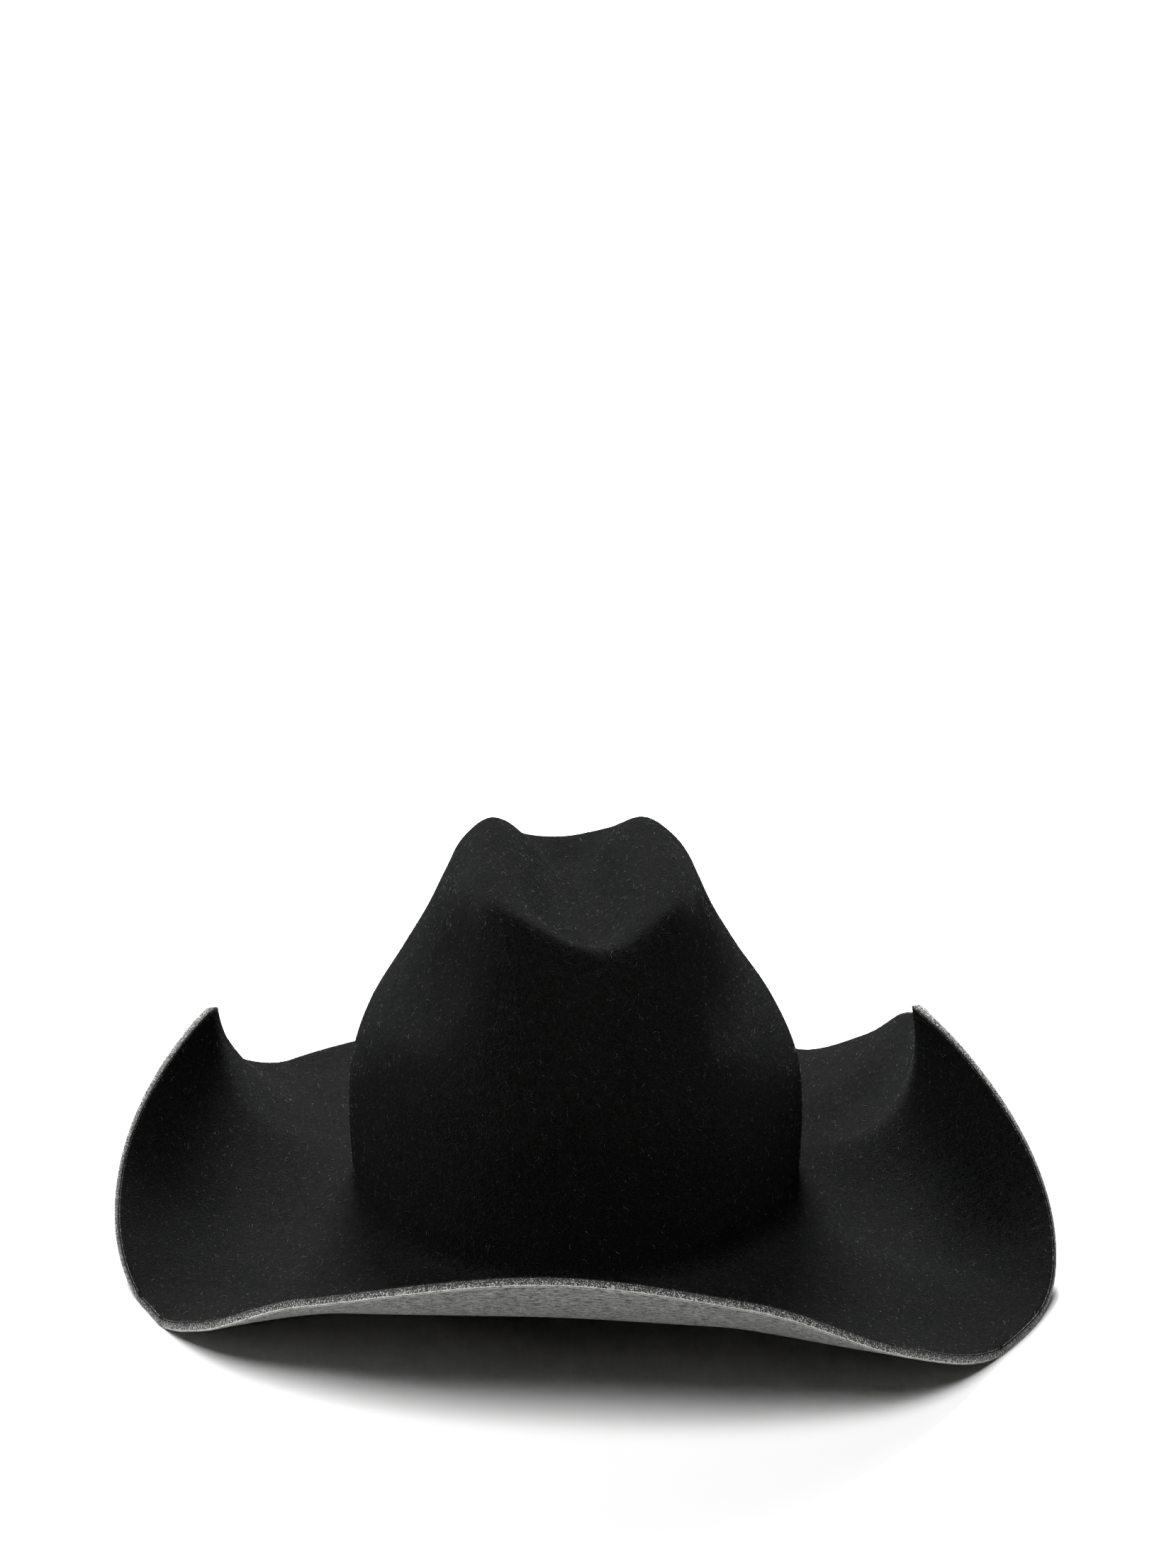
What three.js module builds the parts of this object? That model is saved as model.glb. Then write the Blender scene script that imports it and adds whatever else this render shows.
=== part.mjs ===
// A wide-brimmed western hat in two colours of wool felt, resting on its brim.
// Millimetres, +Z up, the front of the hat towards -Y. The brim rests on z = 0.
// The crown and the top of the brim are one black felt, blocked in one piece.
// A grey felt faces the underside of the brim and shows along its cut edge.
import * as THREE from "three";
import { mergeVertices } from "three/addons/utils/BufferGeometryUtils.js";

// Head opening, measured outside the felt where the crown meets the brim
const rootWidth = 168;
const rootLength = 206;
const rootHeight = 19.5; // top of the brim felt above the table, at the crown
const rootBend = 6; // how far the bend from brim to crown reaches each way
const tipBack = 2; // degrees that the hat sits tipped back
const leanLeft = 0.6; // degrees that it leans towards its left end, at -X

// Crown and brim
const crownHeight = 133; // from the root to the top of the ridges
const brimWidth = 98; // felt from the root to the cut edge

// Felt thicknesses, and the clearance that keeps the two felts apart
const crownFelt = 2.4;
const brimFelt = 1.6;
const underFelt = 1.6;
const feltClearance = 0.3;

// Fineness of the faceted felt
const meridians = 68;
const brimSteps = 8;
const bendSteps = 3;
const wallSteps = 16;
const creaseSteps = 6;
const curlSteps = 12;
const flatMargin = 0.5; // felt this close to the table lies on it

// The wall of the crown from the root to the ridge. up is the height as a share of
// the ridge's, and the rest say how much of the way in to the ridge the felt has
// come by then, on the side, at the front and at the rear.
const wallSections = [
  { up: 0.12, side: -0.02, front: 0.03, rear: 0.0 },
  { up: 0.25, side: -0.03, front: 0.1, rear: 0.02 },
  { up: 0.38, side: 0.0, front: 0.2, rear: 0.06 },
  { up: 0.5, side: 0.11, front: 0.31, rear: 0.14 },
  { up: 0.62, side: 0.31, front: 0.42, rear: 0.26 },
  { up: 0.74, side: 0.51, front: 0.54, rear: 0.42 },
  { up: 0.86, side: 0.67, front: 0.67, rear: 0.6 },
  { up: 0.94, side: 0.78, front: 0.77, rear: 0.76 },
];

// The ridge round the top of the crown, from the front round by the right side, as
// shares of the root's half width and half length and of the crown's height
const ridgeSections = [
  { name: "front lip", at: -90, across: 0.06, along: -0.64, up: 0.862 },
  { name: "front right", at: -62, across: 0.36, along: -0.57, up: 0.955 },
  { name: "right front", at: -32, across: 0.41, along: -0.28, up: 0.99 },
  { name: "right", at: 0, across: 0.38, along: 0.08, up: 1.0 },
  { name: "right rear", at: 30, across: 0.34, along: 0.36, up: 0.99 },
  { name: "rear right", at: 60, across: 0.21, along: 0.56, up: 0.91 },
  { name: "rear rim", at: 90, across: 0, along: 0.63, up: 0.868 },
  { name: "rear rim", at: 118, across: -0.2, along: 0.6, up: 0.89 },
  { name: "rear left", at: 136, across: -0.3, along: 0.47, up: 0.965 },
  { name: "left rear", at: 152, across: -0.355, along: 0.34, up: 1.0 },
  { name: "left", at: 180, across: -0.38, along: 0.08, up: 1.0 },
  { name: "left front", at: 212, across: -0.41, along: -0.28, up: 0.99 },
  { name: "front left", at: 242, across: -0.33, along: -0.57, up: 0.96 },
];

// The crease inside the ridge, as shares of the way in to its floor and down to it
const creaseSections = [
  { inwards: 0.36, down: 0.24 },
  { inwards: 0.7, down: 0.8 },
];
const creaseFloor = { front: -0.38, frontUp: 0.8, rear: 0.34, rearUp: 0.835 };

// Dents pressed into the sides of the crown. at is their middle round the oval, and
// spread how far they reach from it, in degrees; deep is a share of the half width.
const dents = [
  { name: "right", at: -26, up: 0.63, deep: 0.17, spread: 28, tall: 0.16 },
  { name: "left", at: 206, up: 0.68, deep: 0.12, spread: 26, tall: 0.15 },
];

// The brim, from the right side round by the rear. rise is how high the cut edge
// stands above the root and felt how wide the felt is, both as shares of the brim
// width. curl is how far the felt turns up between root and edge, in degrees.
const brimSections = [
  { name: "right", at: 0, rise: 0.3, curl: 94, felt: 0.98 },
  { name: "right", at: 13, rise: 0.53, curl: 108, felt: 0.95 },
  { name: "right rear", at: 21, rise: 0.45, curl: 104, felt: 0.96 },
  { name: "right rear", at: 30, rise: 0.33, curl: 84, felt: 0.96 },
  { name: "right rear", at: 38, rise: 0.23, curl: 62, felt: 0.96 },
  { name: "rear right corner", at: 47, rise: 0.04, curl: 38, felt: 0.97 },
  { name: "rear right corner", at: 58, rise: -0.12, curl: 12, felt: 0.98 },
  { name: "rear right", at: 73, rise: -0.07, curl: 8, felt: 0.99 },
  { name: "rear", at: 90, rise: 0.03, curl: 16, felt: 1 },
  { name: "rear left", at: 106, rise: -0.06, curl: 8, felt: 0.99 },
  { name: "rear left corner", at: 121, rise: -0.11, curl: 8, felt: 0.98 },
  { name: "rear left corner", at: 132, rise: 0, curl: 30, felt: 0.97 },
  { name: "left rear", at: 141, rise: 0.26, curl: 66, felt: 0.96 },
  { name: "left rear", at: 149, rise: 0.42, curl: 90, felt: 0.96 },
  { name: "left rear", at: 157, rise: 0.5, curl: 98, felt: 0.98 },
  { name: "left", at: 170, rise: 0.36, curl: 92, felt: 0.99 },
  { name: "left", at: 182, rise: 0.11, curl: 68, felt: 0.98 },
  { name: "left front", at: 193, rise: -0.07, curl: 44, felt: 0.97 },
  { name: "front left corner", at: 204, rise: -0.185, curl: 16, felt: 0.94 },
  { name: "front left", at: 218, rise: -0.06, curl: 14, felt: 0.94 },
  { name: "front left", at: 235, rise: 0.2, curl: 26, felt: 0.96 },
  { name: "front", at: 262, rise: 0.4, curl: 36, felt: 0.99 },
  { name: "front right", at: 285, rise: 0.27, curl: 34, felt: 0.99 },
  { name: "front right", at: 302, rise: -0.01, curl: 24, felt: 1.01 },
  { name: "front right corner", at: 318, rise: -0.21, curl: 10, felt: 1.03 },
  { name: "front right corner", at: 332, rise: -0.21, curl: 16, felt: 1.05 },
  { name: "right front", at: 344, rise: -0.07, curl: 50, felt: 1.04 },
];

const halfWidth = rootWidth / 2;
const halfLength = rootLength / 2;
const feltDepth = brimFelt + feltClearance + underFelt;
const bendShare = rootBend / brimWidth;
const up = new THREE.Vector3(0, 0, 1);
const settle = new THREE.Euler(
  THREE.MathUtils.degToRad(-tipBack),
  THREE.MathUtils.degToRad(-leanLeft),
  0,
);

// A smooth value all the way round from a column of a table.
function aroundTable(rows, column, degrees) {
  const count = rows.length;
  const turned = THREE.MathUtils.euclideanModulo(degrees - rows[0].at, 360) + rows[0].at;
  const i = rows.findLastIndex((row) => row.at <= turned);
  const row = (k) => rows[THREE.MathUtils.euclideanModulo(k, count)];
  const place = (k) => row(k).at + 360 * Math.floor(k / count);
  const slope = (k) => (row(k + 1)[column] - row(k - 1)[column]) / (place(k + 1) - place(k - 1));
  const span = place(i + 1) - place(i);
  const t = (turned - place(i)) / span;
  return (
    row(i)[column] * (1 + 2 * t) * (1 - t) ** 2 +
    slope(i) * span * t * (1 - t) ** 2 +
    row(i + 1)[column] * t * t * (3 - 2 * t) +
    slope(i + 1) * span * t * t * (t - 1)
  );
}

// The root line, where the crown meets the brim, in a plane of its own
function rootPoint(angle) {
  return new THREE.Vector3(halfWidth * Math.cos(angle), halfLength * Math.sin(angle), 0);
}

// Where felt of unit width has got to after this share of it, the whole of it
// turning by curl. x runs along the chord from the root to the cut edge.
function curledFelt(curl, share) {
  const point = new THREE.Vector2();
  for (let i = 0; i < curlSteps; i++) {
    const t = (share * (i + 0.5)) / curlSteps;
    const slope = curl * (THREE.MathUtils.smoothstep(t, 0, 1) - 0.5);
    point.x += (share * Math.cos(slope)) / curlSteps;
    point.y += (share * Math.sin(slope)) / curlSteps;
  }
  return point;
}

// A point on top of the brim, share being how much of the felt lies inside it.
function brimPoint(angle, share) {
  const degrees = THREE.MathUtils.radToDeg(angle);
  const curl = THREE.MathUtils.degToRad(aroundTable(brimSections, "curl", degrees));
  const felt = brimWidth * aroundTable(brimSections, "felt", degrees);
  const rise = brimWidth * aroundTable(brimSections, "rise", degrees);
  const lift = Math.asin(rise / (felt * curledFelt(curl, 1).x));
  const offset = curledFelt(curl, share).multiplyScalar(felt).rotateAround(new THREE.Vector2(), lift);
  const outward = new THREE.Vector3(Math.cos(angle) / halfWidth, Math.sin(angle) / halfLength, 0);
  return rootPoint(angle).addScaledVector(outward.normalize(), offset.x).addScaledVector(up, offset.y);
}

// The same point once the hat is set down: the felt lies flat where it meets the table.
function settledBrimPoint(angle, share) {
  const point = settled(brimPoint(angle, share));
  return point.setZ(Math.max(point.z, feltDepth));
}

function settled(point) {
  return point.applyEuler(settle).addScaledVector(up, rootHeight);
}

function ridgePoint(angle) {
  const degrees = THREE.MathUtils.radToDeg(angle);
  return new THREE.Vector3(
    halfWidth * aroundTable(ridgeSections, "across", degrees),
    halfLength * aroundTable(ridgeSections, "along", degrees),
    crownHeight * aroundTable(ridgeSections, "up", degrees),
  );
}

// How far the dents press the wall in, as a share of the root's half width.
function dentShare(angle, upShare) {
  return dents.reduce((sum, dent) => {
    const round = THREE.MathUtils.radToDeg(angle) - dent.at;
    const aside = THREE.MathUtils.euclideanModulo(round + 180, 360) - 180;
    const off = (aside / dent.spread) ** 2 + ((upShare - dent.up) / dent.tall) ** 2;
    return sum + dent.deep * Math.exp(-off);
  }, 0);
}

function wallPoint(angle, section) {
  const end = Math.sin(angle) < 0 ? section.front : section.rear;
  const inwards = THREE.MathUtils.lerp(section.side, end, Math.sin(angle) ** 2);
  const ridge = ridgePoint(angle);
  const point = rootPoint(angle).lerp(ridge, inwards);
  point.x -= Math.cos(angle) * halfWidth * dentShare(angle, section.up);
  return point.setZ(ridge.z * section.up);
}

function creasePoint(angle, section) {
  const { front, frontUp, rear, rearUp } = creaseFloor;
  const towardsRear = (1 + Math.sin(angle)) / 2;
  const along = THREE.MathUtils.lerp(front, rear, towardsRear);
  const height = THREE.MathUtils.lerp(frontUp, rearUp, towardsRear);
  const floor = new THREE.Vector3(0, halfLength * along, crownHeight * height);
  const ridge = ridgePoint(angle);
  const point = ridge.clone().lerp(floor, section.inwards);
  return point.setZ(THREE.MathUtils.lerp(ridge.z, floor.z, section.down));
}

// The points on top of the brim along one meridian, from the cut edge to the bend
function brimMeridian(angle) {
  return Array.from({ length: brimSteps + 1 }, (_, i) =>
    settledBrimPoint(angle, THREE.MathUtils.lerp(1, bendShare, i / brimSteps)),
  );
}

// All the points down one meridian of the black felt's upper side, from the cut
// edge of the brim over the root and the ridge to the floor of the crease.
function feltMeridian(angle) {
  const root = settled(rootPoint(angle));
  const wall = wallSections.map((section) => settled(wallPoint(angle, section)));
  const wallStart = wall[0].clone().sub(root).setLength(rootBend).add(root);
  const brim = brimMeridian(angle);
  const bend = new THREE.QuadraticBezierCurve3(brim.pop(), root, wallStart);
  const ridge = settled(ridgePoint(angle));
  const crease = creaseSections.map((section) => settled(creasePoint(angle, section)));
  const floor = settled(creasePoint(angle, { inwards: 1, down: 1 }));
  const beyond = settled(creasePoint(Math.PI - angle, creaseSections.at(-1)));
  const knots = [wallStart, ...wall, ridge, ...crease, floor, beyond];
  const crown = new THREE.CatmullRomCurve3(knots, false, "centripetal");
  const ridgeAt = (1 + wall.length) / (knots.length - 1);
  const floorAt = (knots.length - 2) / (knots.length - 1);
  const points = [...brim, ...bend.getPoints(bendSteps).slice(0, -1)];
  for (let i = 0; i < wallSteps; i++) points.push(crown.getPoint((ridgeAt * i) / wallSteps));
  for (let i = 0; i <= creaseSteps; i++)
    points.push(crown.getPoint(THREE.MathUtils.lerp(ridgeAt, floorAt, i / creaseSteps)));
  return points;
}

const angles = Array.from({ length: meridians }, (_, i) => (2 * Math.PI * i) / meridians);

// Outward normals of a grid of points, one row to a meridian
function gridNormals(grid) {
  return grid.map((row, i) =>
    row.map((_, k) => {
      const before = grid[(i + meridians - 1) % meridians][k];
      const after = grid[(i + 1) % meridians][k];
      const inner = row[Math.min(k + 1, row.length - 1)];
      const outer = row[Math.max(k - 1, 0)];
      return after.clone().sub(before).cross(inner.clone().sub(outer)).normalize();
    }),
  );
}

// A closed felt between two grids, joined by a strip along their first points and,
// unless the grids close on themselves, by one along their last points.
function feltSolid(upper, lower, open) {
  const count = upper[0].length;
  const corners = [upper, lower].flatMap((grid) => grid.flat());
  const at = (layer, i, k) => (layer * meridians + (i % meridians)) * count + k;
  const index = [];
  const quad = (a, b, c, d) => index.push(a, b, c, a, c, d);
  const end = count - 1;
  for (let i = 0; i < meridians; i++) {
    for (let k = 0; k < end; k++) {
      quad(at(0, i, k), at(0, i + 1, k), at(0, i + 1, k + 1), at(0, i, k + 1));
      quad(at(1, i, k), at(1, i, k + 1), at(1, i + 1, k + 1), at(1, i + 1, k));
    }
    quad(at(1, i, 0), at(1, i + 1, 0), at(0, i + 1, 0), at(0, i, 0));
    if (open) quad(at(0, i, end), at(0, i + 1, end), at(1, i + 1, end), at(1, i, end));
  }
  const geometry = new THREE.BufferGeometry().setFromPoints(corners);
  geometry.setIndex(index);
  return mergeVertices(geometry, 1e-3);
}

// The black felt: crown and top of the brim
function feltBody() {
  const upper = angles.map(feltMeridian);
  const normals = gridNormals(upper);
  const seam = upper[0].length - 1;
  const lower = upper.map((row, i) =>
    row.map((point, k) => {
      const share = THREE.MathUtils.smoothstep(k, brimSteps, brimSteps + bendSteps);
      const depth = THREE.MathUtils.lerp(brimFelt, crownFelt, share);
      return point.clone().addScaledVector(k === seam ? up : normals[i][k], -depth);
    }),
  );
  return feltSolid(upper, lower, false);
}

// The grey felt under the brim, from the cut edge to the bend at the root, and flat
// where it rests on the table
function underBrim() {
  const top = angles.map((angle) => brimMeridian(angle));
  const normals = gridNormals(top);
  const sunk = (depth) =>
    top.map((row, i) => row.map((point, k) => point.clone().addScaledVector(normals[i][k], -depth)));
  const lower = sunk(feltDepth);
  lower.flat().forEach((point) => point.z < flatMargin && point.setZ(0));
  return feltSolid(sunk(brimFelt + feltClearance), lower, true);
}

function piece(name, geometry, color) {
  const material = new THREE.MeshStandardMaterial({ color, roughness: 0.95, metalness: 0 });
  const mesh = new THREE.Mesh(geometry, material);
  mesh.name = name;
  return mesh;
}

const hat = new THREE.Group();
hat.add(piece("felt_body", feltBody(), 0x1a1b1c), piece("under_brim", underBrim(), 0x8b8b89));

// The origin is the middle of the hat's outline on the table.
const middle = new THREE.Box3().setFromObject(hat).getCenter(new THREE.Vector3());
hat.children.forEach((mesh) => mesh.geometry.translate(-middle.x, -middle.y, 0));

export default hat;
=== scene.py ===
"""A wide-brimmed western hat in black and grey wool felt.

The two felts with finer faces, the cut edge of the brim and the loose fibres are built
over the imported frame. Lengths are metres, +Z is up and the front of the hat is at -Y.
"""

import bmesh
import bpy
import numpy as np
from bpy.props import FloatProperty, FloatVectorProperty, IntProperty, PointerProperty
from mathutils import Euler, Matrix, Vector


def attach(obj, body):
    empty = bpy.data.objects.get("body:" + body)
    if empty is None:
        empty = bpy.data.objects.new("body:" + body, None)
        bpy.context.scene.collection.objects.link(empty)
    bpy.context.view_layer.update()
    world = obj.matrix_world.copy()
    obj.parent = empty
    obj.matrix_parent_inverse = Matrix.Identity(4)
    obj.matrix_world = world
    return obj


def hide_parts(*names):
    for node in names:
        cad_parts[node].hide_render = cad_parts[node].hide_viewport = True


bl_info = {
    "name": "Felt western hat",
    "version": (1, 0, 0),
    "blender": (4, 5, 0),
    "location": "View3D > Sidebar > Felt hat",
    "description": "Builds the felt, cut edge and loose fibres of a western hat",
    "category": "Object",
}

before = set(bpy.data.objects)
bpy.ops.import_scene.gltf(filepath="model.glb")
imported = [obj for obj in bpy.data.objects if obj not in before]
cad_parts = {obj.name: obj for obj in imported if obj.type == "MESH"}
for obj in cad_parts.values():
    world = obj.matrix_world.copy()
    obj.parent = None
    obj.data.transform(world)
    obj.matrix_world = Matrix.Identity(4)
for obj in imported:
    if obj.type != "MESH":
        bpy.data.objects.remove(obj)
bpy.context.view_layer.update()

# The wall of the crown from the root to the ridge. up is the height as a share of the
# ridge's. side, front and rear say how much of the way in to the ridge the felt has
# come by then.
# up, side, front, rear
WALL = np.array(
    [
        (0.12, -0.02, 0.03, 0.0),
        (0.25, -0.03, 0.1, 0.02),
        (0.38, 0.0, 0.2, 0.06),
        (0.5, 0.11, 0.31, 0.14),
        (0.62, 0.31, 0.42, 0.26),
        (0.74, 0.51, 0.54, 0.42),
        (0.86, 0.67, 0.67, 0.6),
        (0.94, 0.78, 0.77, 0.76),
    ]
)

# The ridge, from the front round by the right side, as shares of the half width, half
# length and crown height.
# at (degrees), across, along, up
RIDGE = np.array(
    [
        (-90, 0.06, -0.64, 0.862),
        (-62, 0.36, -0.57, 0.955),
        (-32, 0.41, -0.28, 0.99),
        (0, 0.38, 0.08, 1.0),
        (30, 0.34, 0.36, 0.99),
        (60, 0.21, 0.56, 0.91),
        (90, 0, 0.63, 0.868),
        (118, -0.2, 0.6, 0.89),
        (136, -0.3, 0.47, 0.965),
        (152, -0.355, 0.34, 1.0),
        (180, -0.38, 0.08, 1.0),
        (212, -0.41, -0.28, 0.99),
        (242, -0.33, -0.57, 0.96),
    ]
)

# The crease inside the ridge, as shares of the way in to its floor and down to it.
# inwards, down
CREASE = ((0.36, 0.24), (0.7, 0.8))

# The two ends of the crease's floor, as shares of the half length and crown height.
# along, up
FLOOR_FRONT = np.array((-0.38, 0.8))
FLOOR_REAR = np.array((0.34, 0.835))

# Dents pressed into the sides of the crown. deep is a share of the half width, and up and
# tall are shares of the ridge's height.
# at (degrees), up, deep, spread (degrees), tall
DENTS = ((-26, 0.63, 0.17, 28, 0.16), (206, 0.68, 0.12, 26, 0.15))

# The brim, from the right side round by the rear. rise and felt are shares of the brim
# width, and curl is how far the felt turns up between root and edge.
# at (degrees), rise, curl (degrees), felt
BRIM = np.array(
    [
        (0, 0.3, 94, 0.98),
        (13, 0.53, 108, 0.95),
        (21, 0.45, 104, 0.96),
        (30, 0.33, 84, 0.96),
        (38, 0.23, 62, 0.96),
        (47, 0.04, 38, 0.97),
        (58, -0.12, 12, 0.98),
        (73, -0.07, 8, 0.99),
        (90, 0.03, 16, 1),
        (106, -0.06, 8, 0.99),
        (121, -0.11, 8, 0.98),
        (132, 0, 30, 0.97),
        (141, 0.26, 66, 0.96),
        (149, 0.42, 90, 0.96),
        (157, 0.5, 98, 0.98),
        (170, 0.36, 92, 0.99),
        (182, 0.11, 68, 0.98),
        (193, -0.07, 44, 0.97),
        (204, -0.185, 16, 0.94),
        (218, -0.06, 14, 0.94),
        (235, 0.2, 26, 0.96),
        (262, 0.4, 36, 0.99),
        (285, 0.27, 34, 0.99),
        (302, -0.01, 24, 1.01),
        (318, -0.21, 10, 1.03),
        (332, -0.21, 16, 1.05),
        (344, -0.07, 50, 1.04),
    ]
)

# Faces round the hat, round its cut edge and along each stretch of a meridian
MERIDIANS = 256
EDGE_MERIDIANS = 1024
BRIM_STEPS = 40
BEND_STEPS = 8
WALL_STEPS = 60
CREASE_STEPS = 26

# Steps in which the curl of the brim is summed
CURL_STEPS = 16

# The brim at its edge and just inside it, as shares of its felt
EDGE_SHARES = (1, 0.98)

# The cut edge: points round each corner and down its face, how deep the ends of the band
# are sunk into the felts, and how far it stands proud of them
CORNER_POINTS = 5
FACE_POINTS = 7
EDGE_TUCK = 0.0004
EDGE_PROUD = 0.00006

# Sheen that both felts share
SHEEN_ROUGHNESS = 0.6
SHEEN_TINT = (0.925, 0.975, 1.0, 1)

# Fibres: loose ones on the black felt, and short fuzz and long stray hairs on the cut edge.
# Density is for each square metre, and tilt is radians up from the surface.
FELT_FIBRES = {
    "Shortest": 0.0008,
    "Longest": 0.003,
    "Radius": 0.00005,
    "Least tilt": 0.0,
    "Most tilt": 0.25,
    "Curl": 0.0024,
}
EDGE_FIBRES = {
    "Borne by": "bears_fibres",
    "Radius": 0.00003,
    "Least tilt": 0.3,
    "Most tilt": 1.5,
    "Curl": 0.0014,
}
SHORT_FUZZ = {"Density": 900000.0, "Shortest": 0.0003, "Longest": 0.0011}
STRAY_HAIRS = {"Density": 16000.0, "Shortest": 0.002, "Longest": 0.005}

# The camera: lens and sensor in millimetres, place, and turn in degrees
LENS = 124.16
SENSOR = 36.0
CAMERA_PLACE = (-0.1403, -1.8837, 0.8541)
CAMERA_TURN = (70.271, -0.625, -4.101)

# Square lights: name, place, size, power in watts, what it is turned to
HAT_CENTRE = (0, 0, 0.05)
LIGHTS = (
    ("front_soft", (-0.65, -0.95, 1.87), 1.1, 58, HAT_CENTRE),
    ("rear_soft", (0, 1.15, 0.85), 0.5, 110, HAT_CENTRE),
    ("backdrop", (0, 2.9, 1.8), 2.6, 70, (0, 2.9, 0)),
)
SKY_STRENGTH = 0.02
FLOOR_REACH = 8.0


class HatSizes(bpy.types.PropertyGroup):
    """Sizes of the hat, as blocked and set down on the table"""

    root_width: FloatProperty(
        name="Root width",
        description="Across the crown where it meets the brim",
        default=0.168,
        unit="LENGTH",
    )
    root_length: FloatProperty(
        name="Root length",
        description="Front to rear of the crown at the brim",
        default=0.206,
        unit="LENGTH",
    )
    root_height: FloatProperty(
        name="Root height",
        description="Top of the brim felt above the table",
        default=0.0195,
        unit="LENGTH",
    )
    root_bend: FloatProperty(
        name="Root bend",
        description="Reach of the bend from brim to crown",
        default=0.006,
        unit="LENGTH",
    )
    tip_back: FloatProperty(
        name="Tip back",
        description="How far the hat sits tipped back",
        default=np.radians(2.0),
        unit="ROTATION",
    )
    lean_left: FloatProperty(
        name="Lean left",
        description="How far it leans to its left end",
        default=np.radians(0.6),
        unit="ROTATION",
    )
    crown_height: FloatProperty(
        name="Crown height",
        description="From the root to the top of the ridges",
        default=0.133,
        unit="LENGTH",
    )
    brim_width: FloatProperty(
        name="Brim width",
        description="Felt from the root to the cut edge",
        default=0.098,
        unit="LENGTH",
    )
    crown_felt: FloatProperty(
        name="Crown felt",
        description="Thickness of the crown's wall",
        default=0.0024,
        unit="LENGTH",
    )
    brim_felt: FloatProperty(
        name="Brim felt",
        description="Thickness of the black felt in the brim",
        default=0.00175,
        unit="LENGTH",
    )
    under_felt: FloatProperty(
        name="Under felt",
        description="Thickness of the grey felt",
        default=0.00175,
        unit="LENGTH",
    )
    edge_round: FloatProperty(
        name="Edge round",
        description="Radius of the two corners of the cut edge",
        default=0.0006,
        unit="LENGTH",
    )


class FeltLooks(bpy.types.PropertyGroup):
    """Colours of the felts and their fibres"""

    black: FloatVectorProperty(
        name="Black felt",
        description="Main colour of the hat",
        subtype="COLOR",
        default=(0.001, 0.00105, 0.00083),
    )
    black_light: FloatVectorProperty(
        name="Black felt, worn",
        description="Lighter mottling of the black",
        subtype="COLOR",
        default=(0.0042, 0.0044, 0.0036),
    )
    sheen: FloatProperty(
        name="Sheen",
        description="Sheen of the black wool",
        default=0.019,
        min=0.0,
    )
    grey: FloatVectorProperty(
        name="Grey felt",
        description="Main colour under the brim",
        subtype="COLOR",
        default=(0.135, 0.135, 0.128),
    )
    grey_dark: FloatVectorProperty(
        name="Grey felt, dark",
        description="Dark wool in the grey felt",
        subtype="COLOR",
        default=(0.035, 0.035, 0.034),
    )
    grey_pale: FloatVectorProperty(
        name="Grey felt, pale",
        description="Pale wool in the grey felt",
        subtype="COLOR",
        default=(0.5, 0.5, 0.48),
    )
    fibre: FloatVectorProperty(
        name="Pale fibres",
        description="Loose pale wool on the black felt",
        subtype="COLOR",
        default=(0.016, 0.0165, 0.015),
    )
    fibres_per_square_metre: FloatProperty(
        name="Fibre density",
        description="Loose fibres for each square metre",
        default=104000.0,
        min=0.0,
    )
    seed: IntProperty(
        name="Seed",
        description="Seed of the loose fibres",
        default=7,
    )


def smooth(t):
    """Smoothstep from 0 to 1."""
    t = np.clip(t, 0, 1)
    return t * t * (3 - 2 * t)


def around(table, degrees):
    """Smooth values of a table's columns all the way round. Its first column is the angle."""
    at, values, count = table[:, 0], table[:, 1:], len(table)

    def place(k):
        return at[k % count] + 360 * (k // count)

    def slope(k):
        reach = (place(k + 1) - place(k - 1))[:, None]
        return (values[(k + 1) % count] - values[(k - 1) % count]) / reach

    turned = (degrees - at[0]) % 360 + at[0]
    i = np.searchsorted(at, turned, side="right") - 1
    span = place(i + 1) - place(i)
    t = ((turned - place(i)) / span)[:, None]
    span = span[:, None]
    return (
        values[i % count] * (1 + 2 * t) * (1 - t) ** 2
        + slope(i) * span * t * (1 - t) ** 2
        + values[(i + 1) % count] * t * t * (3 - 2 * t)
        + slope(i + 1) * span * t * t * (t - 1)
    )


def settled(points, sizes):
    """Points of the blocked hat, after the hat is set down on the table."""
    turn = Matrix.Rotation(-sizes.tip_back, 3, "X") @ Matrix.Rotation(-sizes.lean_left, 3, "Y")
    return points @ np.array(turn).T + (0, 0, sizes.root_height)


def root_points(angles, sizes):
    """The oval where the crown meets the brim, before the hat is set down."""
    half_width, half_length = sizes.root_width / 2, sizes.root_length / 2
    return np.stack([half_width * np.cos(angles), half_length * np.sin(angles), 0 * angles], -1)


def curled_felt(curl, share):
    """Where felt of unit width has got to after these shares, along and above its chord."""
    t = share[:, None] * (np.arange(CURL_STEPS) + 0.5) / CURL_STEPS
    slope = curl[:, None, None] * (smooth(t) - 0.5)
    return share * np.cos(slope).mean(-1), share * np.sin(slope).mean(-1)


def brim_shares(sizes):
    """Shares of the brim's felt at its rows of faces, from the cut edge in to the bend."""
    return np.linspace(1, sizes.root_bend / sizes.brim_width, BRIM_STEPS + 1)


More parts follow.
